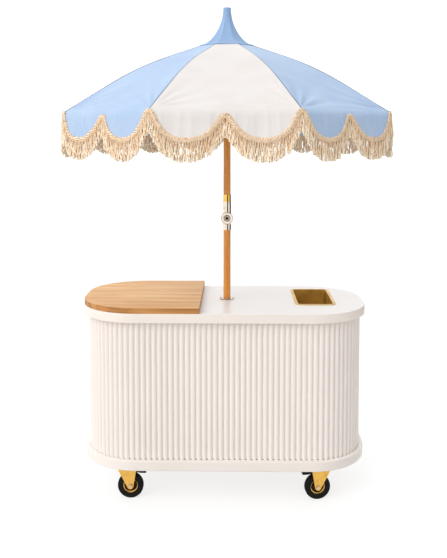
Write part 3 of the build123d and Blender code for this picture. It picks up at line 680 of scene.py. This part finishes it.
def rib_side(rib, side):
    """Panel on one side of a rib, and the sign of the rib's end of it."""
    return ((rib + 1) % panel_count, -1) if side > 0 else (rib, 1)


def rib_angle(rib):
    """Direction of a rib round the pole."""
    return first_rib + 2 * half_panel * rib


def rib_tip(rib):
    """Place of a rib's tip."""
    angle = rib_angle(rib)
    return Vector((tip_radius * cos(angle), tip_radius * sin(angle), eave_height))


def scallop(share):
    """Drop of the scalloped edge below the eave, from a rib at 0 to the panel's middle at 1."""
    from_cusp = 1 - abs(1 - 2 * share)
    bow = 1 - (1 - from_cusp) ** scallop_roundness
    bow *= (1 + cusp_softness**2) * from_cusp**2 / (from_cusp**2 + cusp_softness**2)
    cusp = rib_cusp_drop + (panel_cusp_drop - rib_cusp_drop) * share
    return cusp + (scallop_drop - cusp) * bow


def flare(drop):
    """How far out the valance stands at a drop below the eave, and its slope: it curls over, then hangs."""
    curl = (cos(eave_fall) - cos(hang_slope)) / curl_drop
    slope = acos(max(cos(eave_fall) - curl * drop, cos(hang_slope)))
    return (sin(slope) - sin(eave_fall)) / curl + max(0.0, drop - curl_drop) / tan(hang_slope), slope


def valance_point(rib, side, share, drop, depth):
    """Point of the valance below the eave, with the cloth's own soft waves."""
    panel, end = rib_side(rib, side)
    from_middle = end * (1 - share)
    across = half_eave * from_middle
    out, along = panel_axes(panel)
    reach, slope = flare(drop)
    square = out * sin(slope) + up * cos(slope)
    swing = drift(across * swing_scale, panel * swing_seed, swing_offset)
    swing += sway_share * sin(across * sway_rate + panel)
    pleat = (1 - abs(drift(across * pleat_scale, panel * pleat_seed, pleat_offset))) ** pleat_sharpness
    wave = valance_wave * smooth(drop / scallop_drop) * swing
    wave += pleat_depth * smooth(drop / curl_drop) * pleat
    top = canopy_point(panel, across, tip_radius)
    spread = along * (reach * tan(half_panel) * from_middle)
    return top + out * (reach + wave) + spread - up * drop - square * depth


def hem_point(rib, side, share, rise, depth):
    """Point of the valance's hem, which is turned in under the canopy."""
    panel, end = rib_side(rib, side)
    return canopy_point(panel, end * half_eave * (1 - share), tip_radius - rise * cos(outer_slope), depth)


def lay_row(sheet, point, columns, flat, depth=0.0):
    """Adds a row to a cloth's outer and inner points, and the row's places on the flat cloth."""
    outer, inner, uv = sheet
    outer.append([point(*column, depth) for column in columns])
    inner.append([point(*column, depth + cloth_thickness) for column in columns])
    uv.append(flat)


def lay_hanging_row(sheet, rib, side, shares, drops, depth=0.0):
    """Adds a row of cloth that hangs below the eave."""
    columns = [(rib, side, share, drop) for share, drop in zip(shares, drops)]
    flat = [(side * share * half_eave, -drop) for share, drop in zip(shares, drops)]
    lay_row(sheet, valance_point, columns, flat, depth)


def linked_piece(name, mesh):
    """A new object of the scene with this mesh."""
    piece = bpy.data.objects.new(name, mesh)
    bpy.context.collection.objects.link(piece)
    return piece


def sheet_mesh(name, sheet, material, closed=False):
    """Cloth from two grids of points, joined round their edges, with UVs in metres."""
    outer, inner, uv = sheet
    rows, columns = len(outer), len(outer[0])
    points = [p for grid in (outer, inner) for row in grid for p in row]
    second = rows * columns
    last = columns if closed else columns - 1
    faces = []
    for r in range(rows - 1):
        for c in range(last):
            n = (c + 1) % columns
            quad = (r * columns + c, (r + 1) * columns + c, (r + 1) * columns + n, r * columns + n)
            faces += [quad, tuple(second + i for i in reversed(quad))]
    rim = [((0, c), (0, (c + 1) % columns)) for c in range(last)]
    rim += [((rows - 1, (c + 1) % columns), (rows - 1, c)) for c in range(last)]
    if not closed:
        rim += [((r + 1, 0), (r, 0)) for r in range(rows - 1)]
        rim += [((r, columns - 1), (r + 1, columns - 1)) for r in range(rows - 1)]
    for (r0, c0), (r1, c1) in rim:
        a, b = r0 * columns + c0, r1 * columns + c1
        faces.append((a, b, second + b, second + a))
    mesh = bpy.data.meshes.new(name)
    mesh.from_pydata(points, [], faces)
    mesh.materials.append(material)
    mesh.polygons.foreach_set("use_smooth", [True] * len(faces))
    layer = mesh.uv_layers.new(name="flat_cloth")
    flat = [p for row in uv for p in row] * 2
    for loop, corner in zip(mesh.loops, layer.data):
        corner.uv = flat[loop.vertex_index]
    welded = bmesh.new()
    welded.from_mesh(mesh)
    bmesh.ops.remove_doubles(welded, verts=welded.verts, dist=weld_distance)
    welded.to_mesh(mesh)
    welded.free()
    mesh.set_sharp_from_angle(angle=cloth_sharp_angle)
    return linked_piece(name, mesh)


def half_shares(side, columns, crowd=1.0):
    """Columns of a panel half, from left to right: 0 at the rib and 1 at the panel's middle."""
    return [(step / columns) ** crowd for step in range(columns + 1)][::side]


def canopy_half(rib, side, length, radii):
    """Canopy cloth from a rib to the panel's middle; the eave's edge is tucked in behind the valance."""
    panel, end = rib_side(rib, side)
    shares = half_shares(side, side_columns, rib_crowding)
    sheet = [], [], []
    for radius in radii:
        half = radius * sin(half_panel)
        columns = [(panel, end * half * (1 - share), radius) for share in shares]
        flat = [(side * share * half, (tip_radius - radius) / cos(outer_slope)) for share in shares]
        lay_row(sheet, canopy_point, columns, flat)
    if length == "lower":
        tucks = [min(tuck_drop * smooth(s / tuck_reach), tuck_share * scallop(s)) for s in shares]
        for row in range(tuck_rows + 1):
            drops = [tuck * row / tuck_rows for tuck in tucks]
            lay_hanging_row(sheet, rib, side, shares, drops, cloth_thickness + hem_gap)
    name = f"{length}_canopy_{rib + 1}_{side_names[side]}"
    return sheet_mesh(name, sheet, canvas_colours[panel_colour(panel)])


def valance_cloth(rib, side):
    """A scallop of cloth that hangs beside a rib, and its hem, which stops short of the rib."""
    shares = half_shares(side, valance_columns)
    sheet = [], [], []
    for row in range(hem_rows, -1, -1):
        rises = [hem_length * smooth((share - hem_start) / hem_ramp) * row / hem_rows for share in shares]
        columns = [(rib, side, share, rise) for share, rise in zip(shares, rises)]
        flat = [(side * share * half_eave, rise) for share, rise in zip(shares, rises)]
        lay_row(sheet, hem_point, columns, flat, cloth_thickness + hem_gap)
    for row in range(valance_rows + 1):
        drops = [scallop(share) * row / valance_rows for share in shares]
        lay_hanging_row(sheet, rib, side, shares, drops)
    panel = rib_side(rib, side)[0]
    name = f"valance_cloth_{rib + 1}_{side_names[side]}"
    return sheet_mesh(name, sheet, canvas_colours[panel_colour(panel)])


def fringe_tree():
    """Cotton strands hung along an edge, with a braid over their heads."""
    group = bpy.data.node_groups.new("cotton_fringe", "GeometryNodeTree")
    inputs = [("Edge", "Geometry"), ("Count", "Int"), ("Length", "Float"), ("Thickness", "Float")]
    inputs += [("Row Gap", "Float"), ("Braid Height", "Float"), ("Braid Thickness", "Float")]
    inputs += [("Seed", "Int"), ("Cotton", "Material"), ("Braid", "Material")]
    for name, kind in inputs:
        group.interface.new_socket(name, in_out="INPUT", socket_type="NodeSocket" + kind)
    group.interface.new_socket("Fringe", in_out="OUTPUT", socket_type="NodeSocketGeometry")
    build = Tree(group)
    add = build.out
    given = build.node("NodeGroupInput", {}).outputs
    draws = count(1)

    def chance(low, high):
        seed = build.calc("ADD", given["Seed"], seed_step * next(draws))
        drawn = build.node("FunctionNodeRandomValue", {2: low, 3: high, "Seed": seed}, data_type="FLOAT")
        return drawn.outputs[1]

    def times(a, b):
        return build.calc("MULTIPLY", a, b)

    def swept(curve, profile):
        return add("GeometryNodeCurveToMesh", {"Curve": curve, "Profile Curve": profile, "Fill Caps": True})

    def moved(geometry, offset):
        return add("GeometryNodeSetPosition", {"Geometry": geometry, "Offset": offset})

    def marked(geometry, name, value, domain):
        inputs = {"Geometry": geometry, "Name": name, "Value": value}
        return add("GeometryNodeStoreNamedAttribute", inputs, domain=domain)

    def painted(geometry, material):
        return add("GeometryNodeSetMaterial", {"Geometry": geometry, "Material": material})

    # One strand: a swaying cord that is thin at its head and full at its foot
    foot = build.vector(0.0, 0.0, times(given["Length"], -1.0))
    line = add("GeometryNodeCurvePrimitiveLine", {"Start": (0, 0, 0), "End": foot})
    line = add("GeometryNodeResampleCurve", {"Curve": line, "Count": strand_points})
    factor = build.node("GeometryNodeSplineParameter", {}).outputs["Factor"]

    def sway(turns, share):
        return times(times(build.calc("SINE", times(factor, turns)), given["Thickness"]), share)

    sways = [sway(turns, share) for turns, share in strand_sways]
    line = marked(moved(line, build.vector(*sways, 0.0)), "along", factor, "POINT")
    radius = times(given["Thickness"], 0.5)
    ring = add("GeometryNodeCurvePrimitiveCircle", {"Resolution": strand_sides, "Radius": radius})
    cord = swept(line, ring)
    place = build.split(add("GeometryNodeInputPosition", {}))
    along = add("GeometryNodeInputNamedAttribute", {"Name": "along"}, data_type="FLOAT")
    swell = build.calc("MULTIPLY_ADD", along, strand_swell, strand_head)
    cord = moved(cord, build.vector(times(place["X"], swell), times(place["Y"], swell), 0.0))
    cord = add("GeometryNodeTransform", {"Geometry": cord, "Scale": (strand_flatness, 1, 1)})
    cord = painted(cord, given["Cotton"])

    # Strands stand in two rows, in turn, and each has its own girth, length, twist, lean and tone
    edge = add("GeometryNodeMeshToCurve", {"Mesh": given["Edge"]})
    edge = add("GeometryNodeSetCurveNormal", {"Curve": edge}, mode="Z_UP")
    places = build.node("GeometryNodeCurveToPoints", {"Curve": edge, "Count": given["Count"]}, mode="COUNT")
    outward = places.outputs["Normal"]
    row = build.calc("MODULO", add("GeometryNodeInputIndex", {}), 2.0)
    row_gap = times(build.calc("SUBTRACT", row, 0.5), given["Row Gap"])
    set_back = add("ShaderNodeVectorMath", {0: outward, "Scale": row_gap}, operation="SCALE")
    rows = moved(places.outputs[0], set_back)
    girth = chance(*girth_range)
    size = build.vector(girth, girth, chance(*length_range))
    facing = add("FunctionNodeAlignRotationToVector", {"Vector": outward}, axis="X", pivot_axis="Z")
    flip = times(build.calc("ROUND", chance(0.0, 1.0)), pi)
    twist = build.calc("ADD", flip, chance(*twist_range))
    leans = [chance(low, high) for low, high in lean_ranges]
    turn = build.vector(*leans, twist)
    turned = add("FunctionNodeRotateRotation", {0: facing, 1: turn}, rotation_space="LOCAL")
    hanging = {"Points": rows, "Instance": cord, "Rotation": turned, "Scale": size}
    hung = marked(add("GeometryNodeInstanceOnPoints", hanging), "tone", chance(0.0, 1.0), "INSTANCE")
    strands = add("GeometryNodeRealizeInstances", {"Geometry": hung})

    # Braid: a flattened round swept along the edge
    fine = add("GeometryNodeResampleCurve", {"Curve": edge, "Length": braid_step}, mode="LENGTH")
    loop = add("GeometryNodeCurvePrimitiveCircle", {"Resolution": braid_sides, "Radius": 0.5})
    flatness = build.vector(given["Braid Thickness"], given["Braid Height"], 1.0)
    band = add("GeometryNodeTransform", {"Geometry": loop, "Scale": flatness})
    braid = painted(swept(fine, band), given["Braid"])
    both = build.node("GeometryNodeJoinGeometry", {})
    for part in (strands, braid):
        group.links.new(part, both.inputs[0])
    build.node("NodeGroupOutput", {0: both.outputs[0]})
    return group


def plain_piece(name, worker):
    """A piece with the worker's evaluated mesh; the worker is removed."""
    evaluated = worker.evaluated_get(bpy.context.evaluated_depsgraph_get())
    mesh = bpy.data.meshes.new_from_object(evaluated)
    mesh.name = name
    bpy.data.objects.remove(worker)
    return linked_piece(name, mesh)


def fringe(rib, side, tree):
    """Fringe and braid along a scallop; at the rib it laps a little over the next one."""
    first = -fringe_rib_lap / half_eave
    last = 1 - fringe_middle_gap / half_eave
    shares = [first + (last - first) * step / fringe_steps for step in range(fringe_steps + 1)][::side]
    drops = [scallop(max(0, share)) + braid_below * braid_height for share in shares]
    depth = cloth_thickness / 2
    points = [valance_point(rib, side, share, drop, depth) for share, drop in zip(shares, drops)]
    edge_length = sum((b - a).length for a, b in zip(points, points[1:]))
    edges = [(step, step + 1) for step in range(fringe_steps)]
    mesh = bpy.data.meshes.new("fringe_edge")
    mesh.from_pydata(points, edges, [])
    worker = linked_piece("fringe_edge", mesh)
    modifier = worker.modifiers.new("cotton_fringe", "NODES")
    modifier.node_group = tree
    sizes = {
        "Count": round(edge_length / strand_pitch) + 1,
        "Length": strand_length,
        "Thickness": strand_thickness,
        "Row Gap": strand_row_gap,
        "Braid Height": braid_height,
        "Braid Thickness": braid_thickness,
        "Seed": first_seed + 2 * rib + side,
        "Cotton": strand_cotton,
        "Braid": braid_cotton,
    }
    for socket in tree.interface.items_tree:
        if socket.in_out == "INPUT" and socket.name in sizes:
            modifier[socket.identifier] = sizes[socket.name]
    return plain_piece(f"fringe_{rib + 1}_{side_names[side]}", worker)


def pagoda_cap():
    """Flared cloth hat over the vent: eight hollow facets and a flat, rounded top."""
    rings = [(cap_eyelet, 0.0), *cap_top_rings, (cap_top_radius, cap_top_fall)]
    for row in range(1, cap_rows + 1):
        share = (row / cap_rows) ** cap_crowding
        swell = (1 - share**cap_swell) ** cap_waist
        radius = cap_base_radius - (cap_base_radius - cap_top_radius) * swell
        rings.append((radius, cap_top_fall + share * (cap_height - cap_top_fall)))
    columns = panel_count * cap_facet_columns
    outer, inner, uv = [], [], []
    for radius, fall in rings:
        squareness = smooth((radius - cap_top_radius) / cap_squaring_length)
        wide, narrow, flat = [], [], []
        for column in range(columns):
            angle = 2 * pi * column / columns + first_rib
            turn = 2 * half_panel * (column % cap_facet_columns) / cap_facet_columns - half_panel
            facet = cos(half_panel) / cos(turn)
            hollow = cap_hollow * (1 - (turn / half_panel) ** 2)
            reach = radius * (1 + squareness * (facet - 1 - hollow))
            for ring, wall in ((wide, 0.0), (narrow, cap_wall)):
                inside = max(cap_eyelet, reach - wall)
                height = cap_base_height + cap_height - fall - wall
                ring.append(Vector((inside * cos(angle), inside * sin(angle), height)))
            flat.append((cap_flat_offset + turn * radius, fall))
        outer.append(wide)
        inner.append(narrow)
        uv.append(flat)
    return sheet_mesh("cap_cloth", (outer, inner, uv), cap_canvas, closed=True)


# Canopy, valance and fringe: each rib's share of the cloth moves with that rib
tree = fringe_tree()
upper_radii = [vent_radius + (fold_radius - vent_radius) * row / upper_rows for row in range(upper_rows + 1)]
lower_steps = [1 - (1 - row / lower_rows) ** eave_crowding for row in range(lower_rows + 1)]
lower_radii = [fold_radius + (tip_radius - fold_radius) * step for step in lower_steps]
canopy_lengths = {
    "upper": (upper_radii, 0, upper_fold_keep, upper_flat),
    "lower": (lower_radii, lower_fold_dip, lower_fold_keep, lower_flat),
}
for rib in range(panel_count):
    number = rib + 1
    for side in side_names:
        for length, (radii, dip, keep, flat) in canopy_lengths.items():
            half = canopy_half(rib, side, length, radii)
            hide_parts("canopy")
            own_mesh(half)
            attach(half, f"rib_{number}")
        hanging = valance_cloth(rib, side)
        strands = fringe(rib, side, tree)
        panel, rib_end = rib_side(rib, side)
        eave_line = panel_axes(panel)[1]
        corner = rib_tip(rib) + eave_line * (rib_end * valance_fold_corner)
        for piece in (hanging, strands):
            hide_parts(f"valance_{number}")
            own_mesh(piece)
            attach(piece, f"valance_{number}")

cap = pagoda_cap()
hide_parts("pagoda_cap")
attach(cap, "parasol_head")

# Floor: it glows for the camera and in reflections, and is a plain pale grey for other light
bpy.ops.mesh.primitive_plane_add(size=floor_size, location=(0, 0, 0))
floor = bpy.context.object
floor.name = "studio_floor"
floor_finish = Finish("studio_floor", roughness=0.9)
seen = floor_finish.node("ShaderNodeLightPath", {}).outputs
shown = floor_finish.calc("MAXIMUM", seen["Is Camera Ray"], seen["Is Glossy Ray"])
floor_finish.colour(linear(floor_rgb))
glow = floor_finish.out("ShaderNodeEmission", {"Color": white, "Strength": floor_glow})
pale = floor_finish.out("ShaderNodeBsdfDiffuse", {"Color": floor_shown})
lit = floor_finish.out("ShaderNodeAddShader", {0: glow, 1: pale})
mixed = floor_finish.out("ShaderNodeMixShader", {0: shown, 1: floor_finish.shader.outputs[0], 2: lit})
floor_finish.feed(floor_finish.tree.nodes["Material Output"], {"Surface": mixed})
floor.data.materials.append(floor_finish.material)

# Sky: its light is stronger from behind the cart
world = bpy.data.worlds.new("studio")
bpy.context.scene.world = world
world.use_nodes = True
sky = Tree(world.node_tree)
rays = sky.node("ShaderNodeLightPath", {}).outputs
seen_sky = sky.calc("MAXIMUM", rays["Is Camera Ray"], rays["Is Glossy Ray"])
behind = sky.split(sky.node("ShaderNodeTexCoord", {}).outputs["Generated"])["Y"]
daylight = sky.span(behind, sky_turn_start, sky_turn_end, sky_front, sky_back)
level = sky.calc("MAXIMUM", seen_sky, daylight)
sky.feed(world.node_tree.nodes["Background"], {"Color": white, "Strength": level})

# Sun
key = bpy.data.objects.new("key_light", bpy.data.lights.new("key_light", "SUN"))
key.data.energy = sun_strength
key.data.angle = sun_softness
key.data.color = sun_colour
key.rotation_mode = "QUATERNION"
key.rotation_quaternion = Vector(sun_direction).to_track_quat("-Z", "Y")
bpy.context.collection.objects.link(key)

# Dark cards in front and to the right, seen only in shiny metal
dark_cloth = moulded("dark_cloth", (64, 40, 26), worn=(72, 46, 30), roughness=0.9, grain=40, shine=0.0)
for place, turn, width in card_places:
    bpy.ops.mesh.primitive_plane_add(size=1, location=place, rotation=(radians(90), 0, radians(turn)))
    card = bpy.context.object
    card.name = "dark_card"
    card.scale = (width, card_height, 1)
    card.data.materials.append(dark_cloth)
    card.visible_camera = False
    card.visible_diffuse = False
    card.visible_shadow = False

# Camera
camera = bpy.data.objects.new("photo_camera", bpy.data.cameras.new("photo_camera"))
bpy.context.collection.objects.link(camera)
camera.location = camera_place
camera.rotation_euler = (radians(90 - camera_pitch), 0, radians(camera_turn))
camera.data.sensor_width = sensor_size
camera.data.lens = focal_pixels * sensor_size / photo_height
camera.data.shift_y = (principal_row - photo_height / 2) / photo_height
camera.data.clip_end = camera_far
bpy.context.scene.camera = camera

bpy.context.scene.view_settings.view_transform = "Standard"
